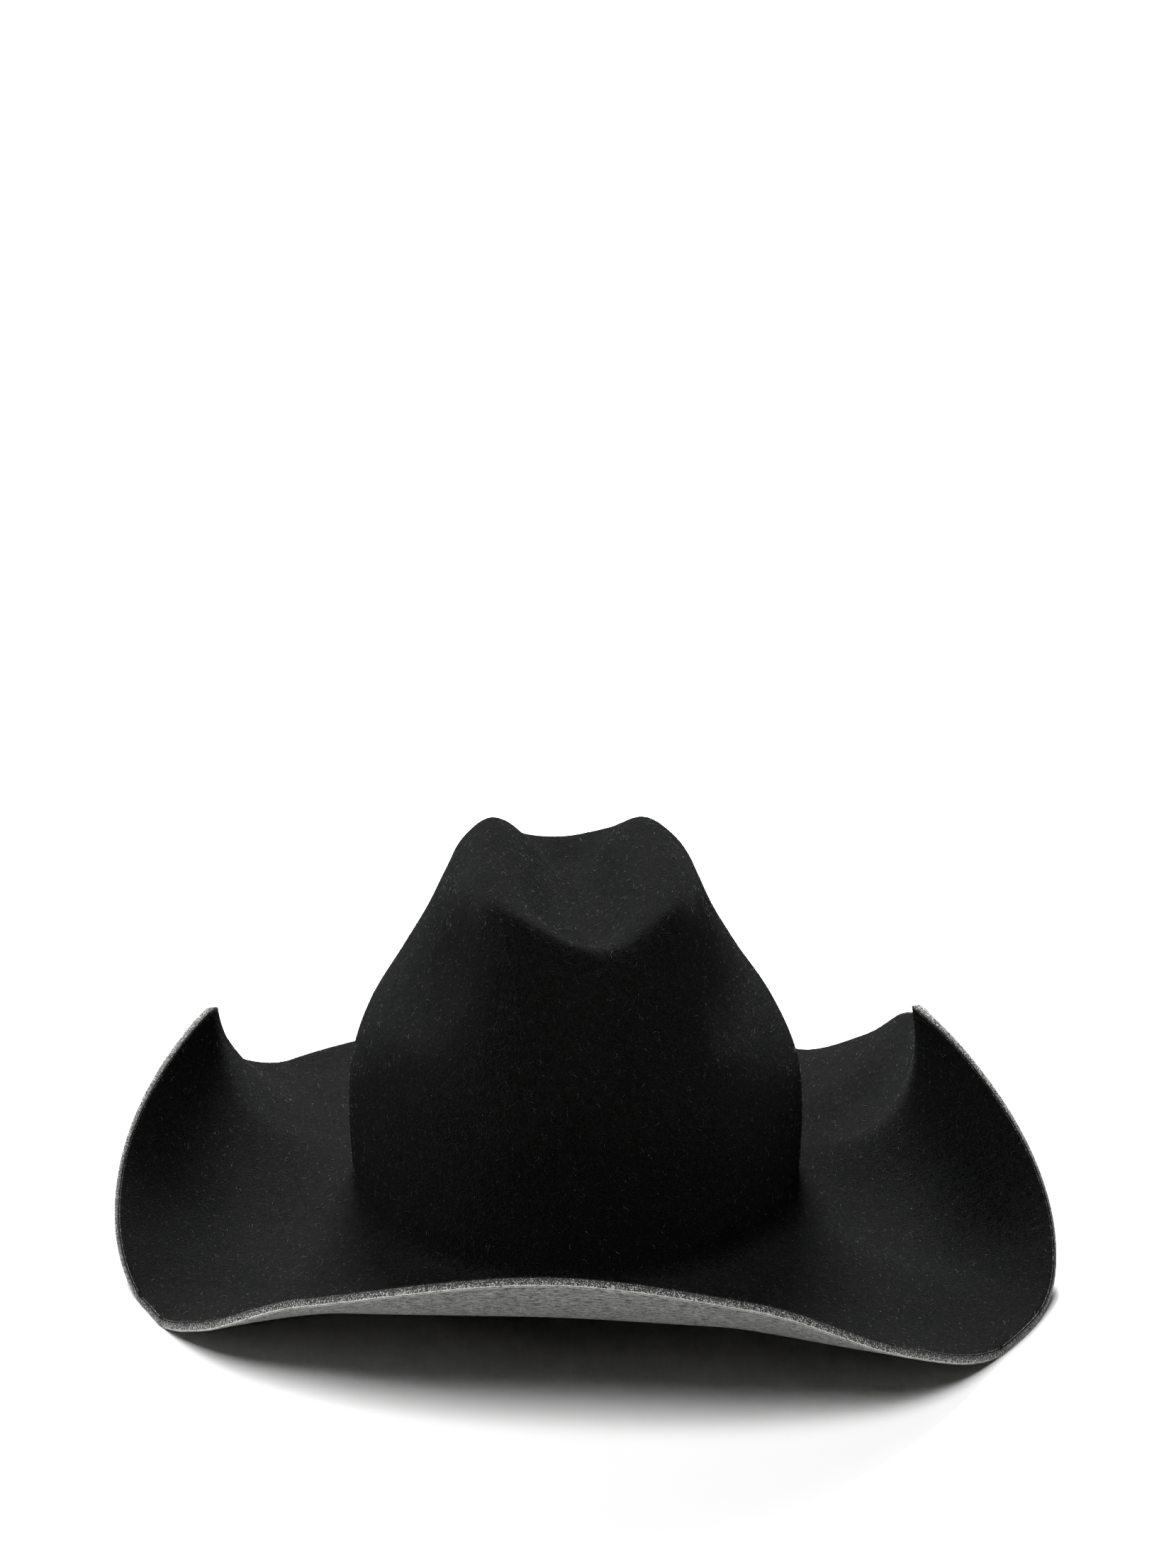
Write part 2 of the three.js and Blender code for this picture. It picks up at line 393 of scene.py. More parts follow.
def brim_points(angles, share, sizes):
    """Points on top of the brim: a row for each angle and a column for each share of the felt."""
    share = np.asarray(share, float)
    rise, curl, felt = around(BRIM, np.degrees(angles)).T
    curl, rise, felt = np.radians(curl), rise * sizes.brim_width, felt * sizes.brim_width
    chord = felt * curled_felt(curl, np.ones(1))[0][:, 0]
    lift = np.arcsin(rise / chord)[:, None]
    x, y = curled_felt(curl, share)
    x, y = x * felt[:, None], y * felt[:, None]
    out = x * np.cos(lift) - y * np.sin(lift)
    up = x * np.sin(lift) + y * np.cos(lift)
    outward = np.stack([np.cos(angles) / sizes.root_width, np.sin(angles) / sizes.root_length], -1)
    outward /= np.linalg.norm(outward, axis=-1, keepdims=True)
    points = np.repeat(root_points(angles, sizes)[:, None], len(share), 1)
    points[..., :2] += outward[:, None] * out[..., None]
    points[..., 2] += up
    points = settled(points, sizes)
    points[..., 2] = np.maximum(points[..., 2], sizes.brim_felt + sizes.under_felt)
    return points


def ridge_points(angles, sizes):
    """The ridge round the crease."""
    shares = around(RIDGE, np.degrees(angles))
    return shares * (sizes.root_width / 2, sizes.root_length / 2, sizes.crown_height)


def dent_share(angles, up):
    """How deep the dents go in at this height, as a share of the half width."""
    total = 0
    for at, height, deep, spread, tall in DENTS:
        aside = (np.degrees(angles) - at + 180) % 360 - 180
        total = total + deep * np.exp(-((aside / spread) ** 2) - ((up - height) / tall) ** 2)
    return total


def wall_points(angles, section, sizes):
    """One level of the crown's wall."""
    up, side, front, rear = section
    end = np.where(np.sin(angles) < 0, front, rear)
    inwards = side + (end - side) * np.sin(angles) ** 2
    ridge = ridge_points(angles, sizes)
    points = root_points(angles, sizes) * (1 - inwards[:, None]) + ridge * inwards[:, None]
    points[:, 0] -= np.cos(angles) * sizes.root_width / 2 * dent_share(angles, up)
    points[:, 2] = ridge[:, 2] * up
    return points


def crease_points(angles, inwards, down, sizes):
    """One level of the crease, between the ridge and its floor."""
    towards_rear = (1 + np.sin(angles)[:, None]) / 2
    along, up = (FLOOR_FRONT + (FLOOR_REAR - FLOOR_FRONT) * towards_rear).T
    floor = np.stack([0 * angles, sizes.root_length / 2 * along, sizes.crown_height * up], -1)
    ridge = ridge_points(angles, sizes)
    points = ridge + (floor - ridge) * inwards
    points[:, 2] = ridge[:, 2] + (floor[:, 2] - ridge[:, 2]) * down
    return points


def through(knots, places):
    """Points of the centripetal curves through knots, one curve a row, at places from 0 to 1."""
    before = 2 * knots[:, :1] - knots[:, 1:2]
    after = 2 * knots[:, -1:] - knots[:, -2:-1]
    padded = np.concatenate([before, knots, after], 1)
    along = np.asarray(places) * (knots.shape[1] - 1)
    i = np.minimum(along.astype(int), knots.shape[1] - 2)
    t = (along - i)[None, :, None]
    a, b, c, d = (padded[:, i + k] for k in range(4))
    ab, bc, cd = (
        np.linalg.norm(q - p, axis=-1, keepdims=True) ** 0.5 for p, q in ((a, b), (b, c), (c, d))
    )
    start = ((b - a) / ab - (c - a) / (ab + bc) + (c - b) / bc) * bc
    finish = ((c - b) / bc - (d - b) / (bc + cd) + (d - c) / cd) * bc
    squared = 3 * (c - b) - 2 * start - finish
    cubed = 2 * (b - c) + start + finish
    return b + start * t + squared * t**2 + cubed * t**3


def felt_meridians(angles, sizes):
    """The black felt's upper side, a row a meridian, from the cut edge to the crease's floor."""
    root = settled(root_points(angles, sizes), sizes)
    wall = [settled(wall_points(angles, section, sizes), sizes) for section in WALL]
    rising = wall[0] - root
    wall_start = root + rising / np.linalg.norm(rising, axis=-1, keepdims=True) * sizes.root_bend
    brim = brim_points(angles, brim_shares(sizes), sizes)
    t = (np.arange(BEND_STEPS) / BEND_STEPS)[None, :, None]
    bend = (
        brim[:, -1:] * (1 - t) ** 2
        + 2 * root[:, None] * t * (1 - t)
        + wall_start[:, None] * t**2
    )
    ridge = settled(ridge_points(angles, sizes), sizes)
    crease = [
        settled(crease_points(angles, *section, sizes), sizes) for section in (*CREASE, (1, 1))
    ]
    beyond = settled(crease_points(np.pi - angles, *CREASE[-1], sizes), sizes)
    knots = np.stack([wall_start, *wall, ridge, *crease, beyond], 1)
    last = knots.shape[1] - 1
    ridge_at, floor_at = (1 + len(WALL)) / last, (last - 1) / last
    places = np.concatenate(
        [
            ridge_at * np.arange(WALL_STEPS) / WALL_STEPS,
            np.linspace(ridge_at, floor_at, CREASE_STEPS + 1),
        ]
    )
    return np.concatenate([brim[:, :-1], bend, through(knots, places)], 1)


def grid_normals(grid):
    """Unit normals of a grid of points whose rows close round the hat, out of the felt."""
    around_rows = np.roll(grid, -1, 0) - np.roll(grid, 1, 0)
    inwards = np.concatenate(
        [grid[:, 1:2] - grid[:, :1], grid[:, 2:] - grid[:, :-2], grid[:, -1:] - grid[:, -2:-1]], 1
    )
    normals = np.cross(around_rows, inwards)
    return normals / np.linalg.norm(normals, axis=-1, keepdims=True)


def all_angles(count):
    """Angles all the way round, in radians."""
    return 2 * np.pi * np.arange(count) / count


def hat_middle(sizes):
    """The middle of the hat's outline, which the frame has at its origin."""
    edge = brim_points(all_angles(EDGE_MERIDIANS), EDGE_SHARES, sizes)
    lower = edge - grid_normals(edge) * (sizes.brim_felt + sizes.under_felt)
    outline = np.concatenate([edge, lower]).reshape(-1, 3)
    return (outline.min(0) + outline.max(0)) / 2 * (1, 1, 0)


def closed_strips(profiles, ring):
    """Corners and quads of a grid whose rows close round, and its columns too with ring."""
    rows, columns = profiles.shape[:2]
    i, k = np.meshgrid(np.arange(rows), np.arange(columns if ring else columns - 1), indexing="ij")
    nxt, k2 = (i + 1) % rows, (k + 1) % columns
    quads = np.stack([i * columns + k, nxt * columns + k, nxt * columns + k2, i * columns + k2], -1)
    return profiles.reshape(-1, 3), quads.reshape(-1, 4)


def new_piece(name, points, quads, material, attributes=None, uv=None):
    """A smooth mesh piece. attributes hold a float, and uv a pair, for each point."""
    mesh = bpy.data.meshes.new(name)
    mesh.from_pydata(points.tolist(), [], quads.tolist())
    for key, values in (attributes or {}).items():
        mark = mesh.attributes.new(key, "FLOAT", "POINT")
        mark.data.foreach_set("value", np.ravel(values).astype(np.float32))
    if uv is not None:
        layer = mesh.uv_layers.new(name="felt")
        corners = np.zeros(len(mesh.loops), int)
        mesh.loops.foreach_get("vertex_index", corners)
        layer.data.foreach_set("uv", uv[corners].astype(np.float32).ravel())
    mesh.materials.append(material)
    work = bmesh.new()
    work.from_mesh(mesh)
    bmesh.ops.remove_doubles(work, verts=work.verts, dist=1e-6)
    work.to_mesh(mesh)
    work.free()
    mesh.shade_smooth()
    piece = bpy.data.objects.new(name, mesh)
    bpy.context.scene.collection.objects.link(piece)
    return piece


def socket(tree, name, kind, direction="INPUT", default=None):
    """A named input or output of a node group."""
    made = tree.interface.new_socket(name=name, in_out=direction, socket_type=f"NodeSocket{kind}")
    if default is not None:
        made.default_value = default


def add(tree, kind, inputs=None, **settings):
    """A node with its settings, and its inputs set to values or linked to sockets."""
    node = tree.nodes.new(kind)
    for key, value in settings.items():
        setattr(node, key, value)
    for key, value in (inputs or {}).items():
        if isinstance(value, bpy.types.NodeSocket):
            tree.links.new(value, node.inputs[key])
        else:
            node.inputs[key].default_value = value
    return node


def math_node(tree, operation, *values):
    """The result of a sum on values, each a number or a socket."""
    return add(tree, "ShaderNodeMath", dict(enumerate(values)), operation=operation).outputs[0]


def scaled(tree, value, by):
    """A value times another."""
    return math_node(tree, "MULTIPLY", value, by)


def mix_colour(tree, factor, a, b):
    """A mix of two colours, each a socket or its red, green and blue."""
    a, b = (c if isinstance(c, bpy.types.NodeSocket) else (*c, 1) for c in (a, b))
    return add(tree, "ShaderNodeMix", {0: factor, 6: a, 7: b}, data_type="RGBA").outputs[2]


def remap(tree, value, low, high, to_low=0.0, to_high=1.0):
    """A value from low to high, eased to run from to_low to to_high."""
    return add(
        tree,
        "ShaderNodeMapRange",
        {"Value": value, "From Min": low, "From Max": high, "To Min": to_low, "To Max": to_high},
        interpolation_type="SMOOTHSTEP",
    ).outputs["Result"]


def noise(tree, vector, scale, detail, roughness=0.5):
    """Soft noise, mostly near 0.5."""
    values = {"Vector": vector, "Scale": scale, "Detail": detail, "Roughness": roughness}
    return add(tree, "ShaderNodeTexNoise", values).outputs["Fac"]


def wool_group():
    """Tangled wool: curly fibres, a few pale flecks, soft mottling and the height of it all."""
    name = "Tangled wool"
    if name in bpy.data.node_groups:
        return bpy.data.node_groups[name]
    tree = bpy.data.node_groups.new(name, "ShaderNodeTree")
    socket(tree, "Vector", "Vector")
    socket(tree, "Fibre scale", "Float", default=700.0)
    socket(tree, "Fleck share", "Float", default=0.3)
    for key in ("Fibres", "Flecks", "Mottle", "Height"):
        socket(tree, key, "Float", "OUTPUT")
    inputs = add(tree, "NodeGroupInput").outputs
    outputs = add(tree, "NodeGroupOutput").inputs

    def curls(factor, seed, width):
        """Thin curly lines where a noise passes its middle."""
        scale = scaled(tree, inputs["Fibre scale"], factor)
        values = {"Vector": inputs["Vector"], "W": seed, "Scale": scale, "Detail": 1.5}
        winding = add(
            tree, "ShaderNodeTexNoise", {**values, "Distortion": 1.2}, noise_dimensions="4D"
        )
        off = math_node(tree, "ABSOLUTE", math_node(tree, "SUBTRACT", winding.outputs["Fac"], 0.5))
        return remap(tree, off, 0.0, width, 1.0, 0.0)

    fine = curls(1.0, 1.7, 0.06)
    crossing = curls(0.7, 8.3, 0.035)
    sparse = curls(0.5, 4.1, 0.02)
    mottle = noise(tree, inputs["Vector"], scale=38.0, detail=4.0, roughness=0.62)
    patches = noise(tree, inputs["Vector"], scale=310.0, detail=1.0)
    grain = noise(tree, inputs["Vector"], scale=2600.0, detail=2.0)
    in_patches = scaled(tree, sparse, remap(tree, patches, 0.56, 0.68))
    flecks = scaled(tree, in_patches, inputs["Fleck share"])
    fibres = math_node(tree, "MAXIMUM", scaled(tree, fine, 0.7), crossing)
    tangle = math_node(tree, "ADD", fibres, scaled(tree, grain, 0.6))
    height = math_node(tree, "ADD", tangle, flecks)
    tree.links.new(fibres, outputs["Fibres"])
    tree.links.new(flecks, outputs["Flecks"])
    tree.links.new(remap(tree, mottle, 0.3, 0.72), outputs["Mottle"])
    tree.links.new(height, outputs["Height"])
    return tree


def felt_material(name, roughness, sheen, bump, bump_depth):
    """A felt without its colour: the shader, its bump and the coordinates to draw it by."""
    material = bpy.data.materials.new(name)
    material.use_nodes = True
    tree = material.node_tree
    shader = tree.nodes["Principled BSDF"]
    shader.inputs["Roughness"].default_value = roughness
    shader.inputs["Specular IOR Level"].default_value = 0.0
    shader.inputs["Sheen Weight"].default_value = sheen
    shader.inputs["Sheen Roughness"].default_value = SHEEN_ROUGHNESS
    shader.inputs["Sheen Tint"].default_value = SHEEN_TINT
    coordinates = add(tree, "ShaderNodeTexCoord")
    relief = add(tree, "ShaderNodeBump", {"Strength": bump, "Distance": bump_depth})
    tree.links.new(relief.outputs["Normal"], shader.inputs["Normal"])
    return material, tree, shader, coordinates, relief


def wool(tree, vector, scale, flecks):
    """The outputs of the tangled wool, at this scale."""
    node = add(tree, "ShaderNodeGroup", node_tree=wool_group())
    tree.links.new(vector, node.inputs["Vector"])
    node.inputs["Fibre scale"].default_value = scale
    node.inputs["Fleck share"].default_value = flecks
    return node.outputs


def black_felt_material(looks):
    """Black felt: soft mottling under a tangle of raised fibres, with a few pale flecks."""
    material, tree, shader, coordinates, relief = felt_material(
        "Black wool felt", roughness=0.95, sheen=looks.sheen, bump=0.9, bump_depth=0.0007
    )
    tangle = wool(tree, coordinates.outputs["Object"], scale=460.0, flecks=0.5)
    mottled = scaled(tree, tangle["Mottle"], 0.3)
    ground = mix_colour(tree, mottled, looks.black, looks.black_light)
    lit = mix_colour(tree, scaled(tree, tangle["Fibres"], 0.8), ground, looks.black_light)
    colour = mix_colour(tree, tangle["Flecks"], lit, looks.fibre)
    tree.links.new(colour, shader.inputs["Base Color"])
    tree.links.new(tangle["Height"], relief.inputs["Height"])
    return material


def grey_felt_material(looks):
    """Grey melange felt, its dark wool drawn out in streaks round the brim."""
    material, tree, shader, coordinates, relief = felt_material(
        "Grey melange felt", roughness=0.9, sheen=0.05, bump=0.8, bump_depth=0.0005
    )
    stretched = add(
        tree, "ShaderNodeMapping", {"Vector": coordinates.outputs["UV"], "Scale": (0.4, 1.0, 1.0)}
    ).outputs["Vector"]
    tangle = wool(tree, stretched, scale=620.0, flecks=0.6)
    streak = noise(tree, stretched, scale=640.0, detail=3.0, roughness=0.7)
    dark = remap(tree, streak, 0.46, 0.58)
    ground = mix_colour(tree, dark, looks.grey, looks.grey_dark)
    pale = mix_colour(tree, scaled(tree, tangle["Fibres"], 0.4), ground, looks.grey_pale)
    tree.links.new(pale, shader.inputs["Base Color"])
    tree.links.new(tangle["Height"], relief.inputs["Height"])
    return material


def cut_edge_material(looks):
    """Cut wool, speckled light and dark, darker at its top and paler at its foot."""
    material, tree, shader, coordinates, relief = felt_material(
        "Cut felt edge", roughness=0.9, sheen=0.05, bump=0.8, bump_depth=0.0005
    )
    tangle = wool(tree, coordinates.outputs["Object"], scale=1500.0, flecks=0.0)
    speckle = noise(tree, coordinates.outputs["Object"], scale=2100.0, detail=2.0, roughness=0.7)
    depth = add(tree, "ShaderNodeAttribute", attribute_name="edge_depth").outputs["Fac"]
    darker_top = remap(tree, depth, 0.1, 0.6, -0.08, 0.0)
    paler_foot = remap(tree, depth, 0.74, 0.9, 0.0, 0.2)
    leaning = math_node(tree, "ADD", speckle, math_node(tree, "ADD", darker_top, paler_foot))
    pale = remap(tree, leaning, 0.5, 0.6)
    colour = mix_colour(tree, pale, looks.grey_dark, looks.grey_pale)
    tree.links.new(colour, shader.inputs["Base Color"])
    tree.links.new(tangle["Height"], relief.inputs["Height"])
    return material


def fibre_material(name, colour, sheen):
    """Wool fibres of one colour, dimmer in places."""
    material = bpy.data.materials.new(name)
    material.use_nodes = True
    tree = material.node_tree
    shader = tree.nodes["Principled BSDF"]
    shader.inputs["Roughness"].default_value = 0.7
    shader.inputs["Specular IOR Level"].default_value = 0.0
    shader.inputs["Sheen Weight"].default_value = sheen
    coordinates = add(tree, "ShaderNodeTexCoord")
    tone = noise(tree, coordinates.outputs["Object"], scale=420.0, detail=1.0)
    dim = tuple(c * 0.4 for c in colour)
    shade = mix_colour(tree, remap(tree, tone, 0.35, 0.65), dim, colour)
    tree.links.new(shade, shader.inputs["Base Color"])
    return material


def fibre_tree():
    """Geometry Nodes tree: short curled fibres scattered over the marked faces of a mesh."""
    name = "Scattered fibres"
    if name in bpy.data.node_groups:
        return bpy.data.node_groups[name]
    tree = bpy.data.node_groups.new(name, "GeometryNodeTree")
    socket(tree, "Geometry", "Geometry")
    socket(tree, "Borne by", "String", default="bears_fibres")
    socket(tree, "Density", "Float", default=1000.0)
    socket(tree, "Shortest", "Float", default=0.001)
    socket(tree, "Longest", "Float", default=0.003)
    socket(tree, "Radius", "Float", default=0.00005)
    socket(tree, "Least tilt", "Float", default=0.0)
    socket(tree, "Most tilt", "Float", default=0.4)
    socket(tree, "Curl", "Float", default=0.0006)
    socket(tree, "Seed", "Int", default=1)
    socket(tree, "Material", "Material")
    socket(tree, "Geometry", "Geometry", "OUTPUT")
    inputs = add(tree, "NodeGroupInput").outputs
    outputs = add(tree, "NodeGroupOutput").inputs
    marked = add(
        tree, "GeometryNodeInputNamedAttribute", {"Name": inputs["Borne by"]}, data_type="FLOAT"
    )
    density = scaled(tree, inputs["Density"], marked.outputs["Attribute"])
    scatter = add(
        tree,
        "GeometryNodeDistributePointsOnFaces",
        {"Mesh": inputs["Geometry"], "Density": density, "Seed": inputs["Seed"]},
    )
    line = add(tree, "GeometryNodeCurvePrimitiveLine", {"Start": (0, 0, 0), "End": (1, 0, 0)})
    bent = add(tree, "GeometryNodeResampleCurve", {"Curve": line.outputs["Curve"], "Count": 4})
    ring = add(
        tree, "GeometryNodeCurvePrimitiveCircle", {"Resolution": 3, "Radius": inputs["Radius"]}
    )

    def random_value(low, high, offset):
        """A random number from low to high, by a seed of its own."""
        values = {2: low, 3: high, "Seed": math_node(tree, "ADD", inputs["Seed"], offset)}
        return add(tree, "FunctionNodeRandomValue", values, data_type="FLOAT").outputs[1]

    length = random_value(inputs["Shortest"], inputs["Longest"], 11)
    spin = random_value(0.0, 2 * np.pi, 12)
    tilt = scaled(tree, random_value(inputs["Least tilt"], inputs["Most tilt"], 13), -1.0)
    turn = add(tree, "ShaderNodeCombineXYZ", {"Y": tilt, "Z": spin})
    local = add(tree, "FunctionNodeEulerToRotation", {"Euler": turn.outputs["Vector"]})
    rotation = add(
        tree,
        "FunctionNodeRotateRotation",
        {"Rotation": scatter.outputs["Rotation"], "Rotate By": local.outputs["Rotation"]},
        rotation_space="LOCAL",
    )
    size = add(tree, "ShaderNodeCombineXYZ", {"X": length, "Y": length, "Z": length})
    placed = add(
        tree,
        "GeometryNodeInstanceOnPoints",
        {
            "Points": scatter.outputs["Points"],
            "Instance": bent.outputs["Curve"],
            "Rotation": rotation.outputs["Rotation"],
            "Scale": size.outputs["Vector"],
        },
    )
    real = add(tree, "GeometryNodeRealizeInstances", {"Geometry": placed.outputs["Instances"]})
    position = add(tree, "GeometryNodeInputPosition").outputs["Position"]
    drift = add(tree, "ShaderNodeTexNoise", {"Vector": position, "Scale": 640.0, "Detail": 0.0})
    centred = add(
        tree,
        "ShaderNodeVectorMath",
        {0: drift.outputs["Color"], 1: (0.5, 0.5, 0.5)},
        operation="SUBTRACT",
    )
    pushed = add(
        tree,
        "ShaderNodeVectorMath",
        {0: centred.outputs["Vector"], "Scale": inputs["Curl"]},
        operation="SCALE",
    )
    curled = add(
        tree,
        "GeometryNodeSetPosition",
        {"Geometry": real.outputs["Geometry"], "Offset": pushed.outputs["Vector"]},
    )
    place = add(tree, "ShaderNodeSeparateXYZ", {0: position}).outputs
    height = math_node(tree, "MAXIMUM", place["Z"], inputs["Radius"])
    above = add(tree, "ShaderNodeCombineXYZ", {"X": place["X"], "Y": place["Y"], "Z": height})
    resting = add(
        tree,
        "GeometryNodeSetPosition",
        {"Geometry": curled.outputs["Geometry"], "Position": above.outputs["Vector"]},
    )
    tube = add(
        tree,
        "GeometryNodeCurveToMesh",
        {
            "Curve": resting.outputs["Geometry"],
            "Profile Curve": ring.outputs["Curve"],
            "Fill Caps": True,
        },
    )
    smooth_tube = add(tree, "GeometryNodeSetShadeSmooth", {"Geometry": tube.outputs["Mesh"]})
    whole = add(tree, "GeometryNodeRealizeInstances", {"Geometry": smooth_tube.outputs["Geometry"]})
    finish = add(
        tree,
        "GeometryNodeSetMaterial",
        {"Geometry": whole.outputs["Geometry"], "Material": inputs["Material"]},
    )
    tree.links.new(finish.outputs["Geometry"], outputs["Geometry"])
    return tree


def scattered_fibres(name, bearer, material, values):
    """A piece of loose fibres grown on another piece, made a plain mesh."""
    source = bpy.data.objects.new(name + "_source", bearer.data.copy())
    bpy.context.scene.collection.objects.link(source)
    tree = fibre_tree()
    modifier = source.modifiers.new("Fibres", "NODES")
    modifier.node_group = tree
    sockets = tree.interface.items_tree
    keys = {item.name: item.identifier for item in sockets if item.in_out == "INPUT"}
    for key, value in {**values, "Material": material}.items():
        modifier[keys[key]] = value
    source.update_tag()
    evaluated = source.evaluated_get(bpy.context.evaluated_depsgraph_get())
    mesh = bpy.data.meshes.new_from_object(evaluated)
    if not mesh.polygons:
        raise RuntimeError(f"{name} grew no fibres")
    mesh.name = name
    piece = bpy.data.objects.new(name, mesh)
    bpy.context.scene.collection.objects.link(piece)
    source.modifiers.remove(modifier)
    bpy.data.objects.remove(source)
    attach(piece, "root")


class HAT_OT_camera(bpy.types.Operator):
    """Sets up the camera in front of the hat, a little above it"""

    bl_idname = "hat.camera"
    bl_label = "Camera"

    def execute(self, context):
        lens = bpy.data.cameras.new("Camera")
        lens.lens = LENS
        lens.sensor_width = SENSOR
        lens.clip_end = 50.0
        camera = bpy.data.objects.new("Camera", lens)
        camera.location = CAMERA_PLACE
        camera.rotation_euler = Euler(np.radians(CAMERA_TURN))
        context.scene.collection.objects.link(camera)
        context.scene.camera = camera
        return {"FINISHED"}


class HAT_OT_black_felt(bpy.types.Operator):
    """Builds the crown and the top of the brim in black felt"""

    bl_idname = "hat.black_felt"
    bl_label = "Crown and brim felt"

    def execute(self, context):
        sizes = context.scene.hat_sizes
        upper = felt_meridians(all_angles(MERIDIANS), sizes)
        normals = grid_normals(upper)
        normals[:, -1] = (0, 0, 1)
        k = np.arange(upper.shape[1])
        bend = smooth((k - BRIM_STEPS) / BEND_STEPS)
        depth = sizes.brim_felt + (sizes.crown_felt - sizes.brim_felt) * bend
        lower = upper - normals * depth[None, :, None]
        profile = np.concatenate([upper[:, ::-1], lower], 1) - hat_middle(sizes)
        points, quads = closed_strips(profile, ring=False)
        on_brim = (k < BRIM_STEPS)[::-1]
        marks = {
            "brim_top": np.tile(np.concatenate([on_brim, 0 * k]), (MERIDIANS, 1)),
            "crown_top": np.tile(np.concatenate([~on_brim, 0 * k]), (MERIDIANS, 1)),
        }
        material = black_felt_material(context.scene.felt_looks)
        piece = new_piece("black_felt", points, quads, material, marks)
        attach(piece, "root")
        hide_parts("felt_body")
        return {"FINISHED"}


class HAT_OT_grey_felt(bpy.types.Operator):
    """Builds the grey felt under the brim"""

    bl_idname = "hat.grey_felt"
    bl_label = "Grey felt under the brim"

    def execute(self, context):
        sizes = context.scene.hat_sizes
        angles = all_angles(MERIDIANS)
        shares = brim_shares(sizes)
        top = brim_points(angles, shares, sizes)
        normals = grid_normals(top)
        upper = top - normals * sizes.brim_felt
        lower = top - normals * (sizes.brim_felt + sizes.under_felt)
        lower[..., 2] = np.maximum(lower[..., 2], 0)
        profile = np.concatenate([upper[:, ::-1], lower], 1) - hat_middle(sizes)
        points, quads = closed_strips(profile, ring=True)
        steps = np.linalg.norm(np.diff(lower[:, 0], axis=0, append=lower[:1, 0]), axis=-1)
        travelled = np.concatenate([[0], np.cumsum(steps)[:-1]])
        round_edge = np.tile(travelled[:, None], profile.shape[1])
        across = np.tile(np.concatenate([shares[::-1], shares]) * sizes.brim_width, (MERIDIANS, 1))
        uv = np.stack([round_edge.ravel(), across.ravel()], -1)
        material = grey_felt_material(context.scene.felt_looks)
        piece = new_piece("grey_felt", points, quads, material, uv=uv)
        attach(piece, "root")
        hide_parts("under_brim")
        return {"FINISHED"}


class HAT_OT_cut_edge(bpy.types.Operator):
    """Builds the band of cut wool along the edge of the brim"""

    bl_idname = "hat.cut_edge"
    bl_label = "Cut edge"

    def execute(self, context):
        sizes = context.scene.hat_sizes
        edge = brim_points(all_angles(EDGE_MERIDIANS), EDGE_SHARES, sizes)
        normal = grid_normals(edge)[:, 0]
        outward = edge[:, 0] - edge[:, 1]
        outward /= np.linalg.norm(outward, axis=-1, keepdims=True)
        whole, radius = sizes.brim_felt + sizes.under_felt, sizes.edge_round
        corner = np.linspace(0, np.pi / 2, CORNER_POINTS)
        top = [(radius * (np.sin(a) - 1), radius * (1 - np.cos(a))) for a in corner]
        face = [(0, d) for d in np.linspace(radius, whole - radius, FACE_POINTS)[1:-1]]
        bottom = [(x, whole - d) for x, d in top[::-1]]
        ends = ((-2 * radius, EDGE_TUCK), (-2 * radius, whole - EDGE_TUCK))
        outline = [ends[0], *top, *face, *bottom, ends[1]]
        rows = [
            edge[:, 0]
            + outward * (out + EDGE_PROUD)
            - normal * (down + EDGE_PROUD * (2 * down / whole - 1))
            for out, down in outline
        ]
        profile = np.stack(rows[::-1], 1) - hat_middle(sizes)
        profile[..., 2] = np.maximum(profile[..., 2], 0)
        points, quads = closed_strips(profile, ring=True)
        depth = np.tile([down / whole for _, down in outline[::-1]], (EDGE_MERIDIANS, 1))
        material = cut_edge_material(context.scene.felt_looks)
        marks = {"edge_depth": depth, "bears_fibres": np.ones_like(depth)}
        piece = new_piece("cut_edge", points, quads[:, ::-1], material, marks)
        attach(piece, "root")
        return {"FINISHED"}


class HAT_OT_loose_fibres(bpy.types.Operator):
    """Scatters pale curled fibres over the black felt"""

    bl_idname = "hat.loose_fibres"
    bl_label = "Loose fibres"

    def execute(self, context):
        looks = context.scene.felt_looks
        material = fibre_material("Pale wool fibres", tuple(looks.fibre), 0.2)
        values = {**FELT_FIBRES, "Density": looks.fibres_per_square_metre}
        felt = bpy.data.objects["black_felt"]
        for i, part in enumerate(("crown", "brim")):
            borne = {"Borne by": f"{part}_top", "Seed": looks.seed + i}
            scattered_fibres(f"{part}_fibres", felt, material, {**values, **borne})
        return {"FINISHED"}


class HAT_OT_edge_fuzz(bpy.types.Operator):
    """Grows short hairs and a few long stray ones along the cut edge"""

    bl_idname = "hat.edge_fuzz"
    bl_label = "Fuzz of the cut edge"

    def execute(self, context):
        looks = context.scene.felt_looks
        edge = bpy.data.objects["cut_edge"]
        material = fibre_material("Cut edge wool", tuple(looks.grey), 0.1)
        short = {**EDGE_FIBRES, **SHORT_FUZZ, "Seed": looks.seed + 20}
        stray = {**EDGE_FIBRES, **STRAY_HAIRS, "Seed": looks.seed + 40}
        scattered_fibres("edge_fuzz", edge, material, short)
        scattered_fibres("stray_hairs", edge, material, stray)
        return {"FINISHED"}


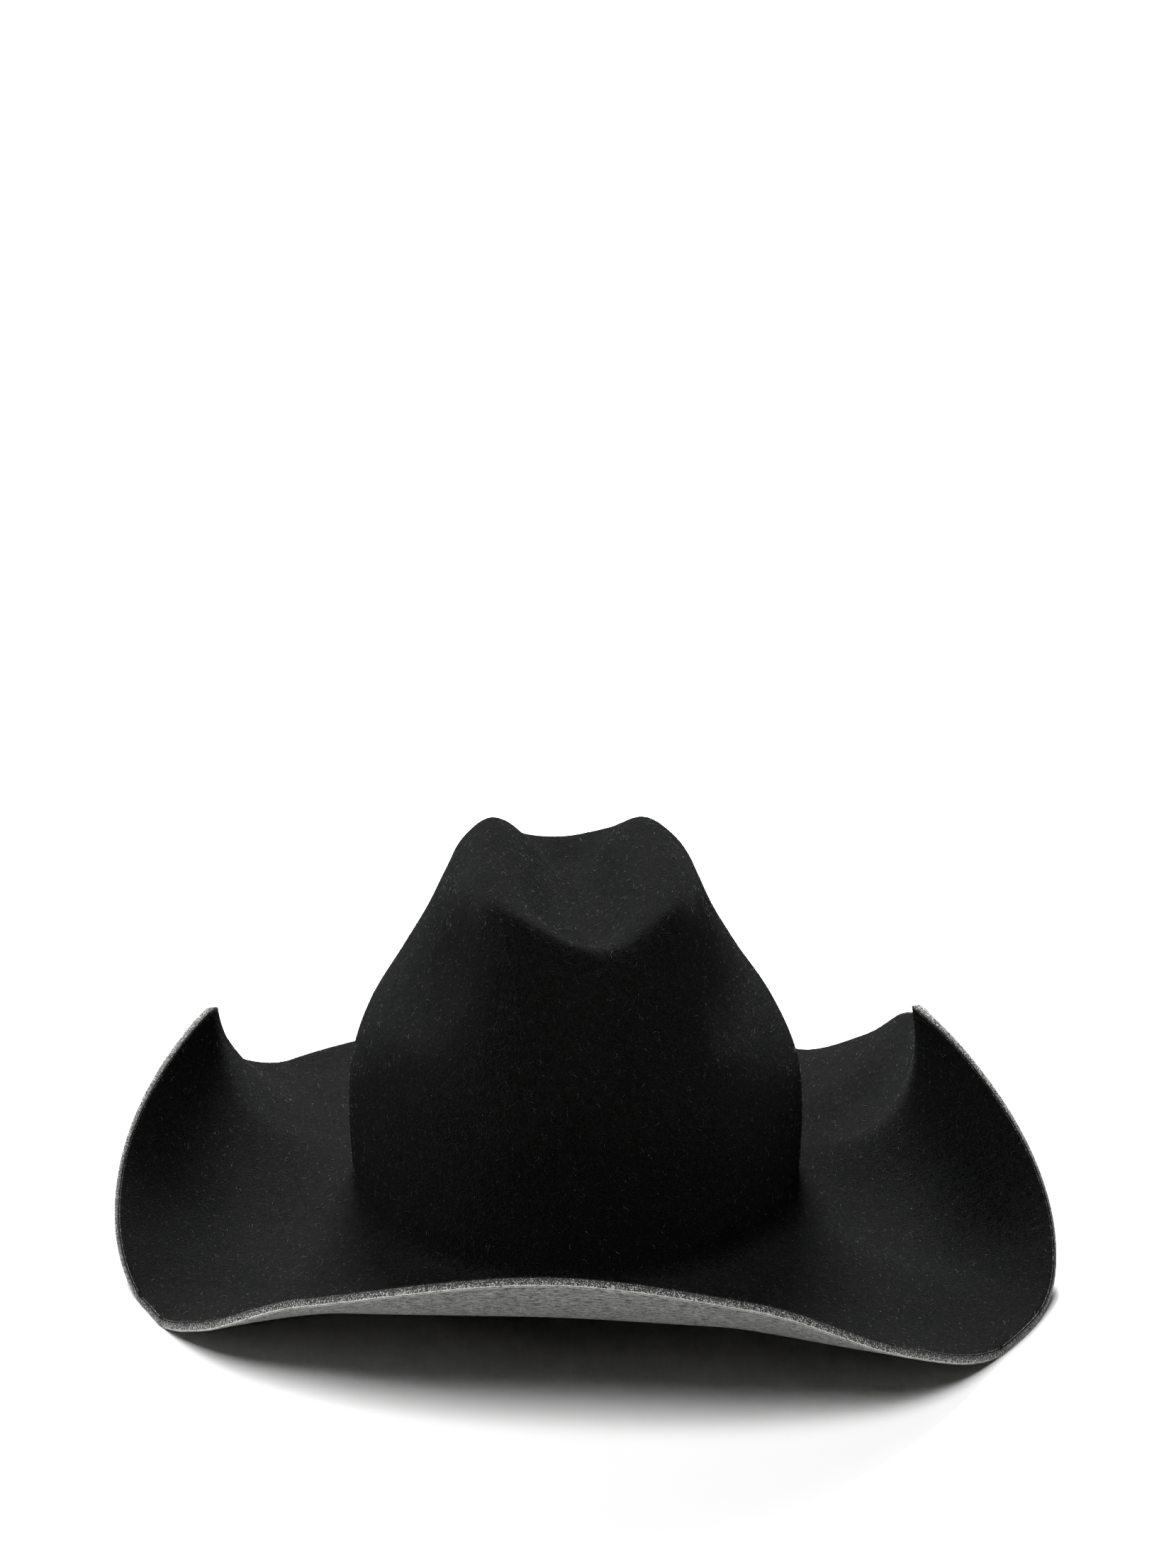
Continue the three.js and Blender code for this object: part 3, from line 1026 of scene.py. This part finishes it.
class HAT_OT_stage(bpy.types.Operator):
    """Lays the pale floor and hangs the soft lights"""

    bl_idname = "hat.stage"
    bl_label = "Floor and lights"

    def execute(self, context):
        mesh = bpy.data.meshes.new("floor")
        turns = ((-1, -1), (1, -1), (1, 1), (-1, 1))
        corners = [(x * FLOOR_REACH, y * FLOOR_REACH, 0) for x, y in turns]
        mesh.from_pydata(corners, [], [(0, 1, 2, 3)])
        material = bpy.data.materials.new("Pale floor")
        material.use_nodes = True
        shader = material.node_tree.nodes["Principled BSDF"]
        shader.inputs["Base Color"].default_value = (0.9, 0.9, 0.9, 1)
        shader.inputs["Roughness"].default_value = 0.9
        shader.inputs["Specular IOR Level"].default_value = 0.1
        mesh.materials.append(material)
        floor = bpy.data.objects.new("floor", mesh)
        context.scene.collection.objects.link(floor)

        for name, location, size, power, target in LIGHTS:
            light = bpy.data.lights.new(name, "AREA")
            light.shape = "SQUARE"
            light.size = size
            light.energy = power
            lamp = bpy.data.objects.new(name, light)
            lamp.location = location
            aim = Vector(target) - Vector(location)
            lamp.rotation_euler = aim.to_track_quat("-Z", "Y").to_euler()
            context.scene.collection.objects.link(lamp)

        world = bpy.data.worlds.new("Studio")
        context.scene.world = world
        world.use_nodes = True
        sky = world.node_tree.nodes["Background"].inputs
        sky["Color"].default_value = (1, 1, 1, 1)
        sky["Strength"].default_value = SKY_STRENGTH
        context.scene.view_settings.view_transform = "Standard"
        return {"FINISHED"}


STEPS = (
    HAT_OT_camera,
    HAT_OT_black_felt,
    HAT_OT_grey_felt,
    HAT_OT_cut_edge,
    HAT_OT_loose_fibres,
    HAT_OT_edge_fuzz,
    HAT_OT_stage,
)


class HAT_PT_panel(bpy.types.Panel):
    """Lists the sizes, the colours and the building steps"""

    bl_idname = "HAT_PT_panel"
    bl_label = "Felt hat"
    bl_space_type = "VIEW_3D"
    bl_region_type = "UI"
    bl_category = "Felt hat"

    def draw(self, context):
        for group in (context.scene.hat_sizes, context.scene.felt_looks):
            box = self.layout.box()
            for key in group.__annotations__:
                box.prop(group, key)
        for step in STEPS:
            self.layout.operator(step.bl_idname)


CLASSES = (HatSizes, FeltLooks, *STEPS, HAT_PT_panel)


def register():
    for item in CLASSES:
        bpy.utils.register_class(item)
    bpy.types.Scene.hat_sizes = PointerProperty(type=HatSizes)
    bpy.types.Scene.felt_looks = PointerProperty(type=FeltLooks)


def unregister():
    del bpy.types.Scene.felt_looks
    del bpy.types.Scene.hat_sizes
    for item in reversed(CLASSES):
        bpy.utils.unregister_class(item)


def main():
    register()
    for step in STEPS:
        family, name = step.bl_idname.split(".")
        getattr(getattr(bpy.ops, family), name)()


if __name__ == "__main__":
    main()
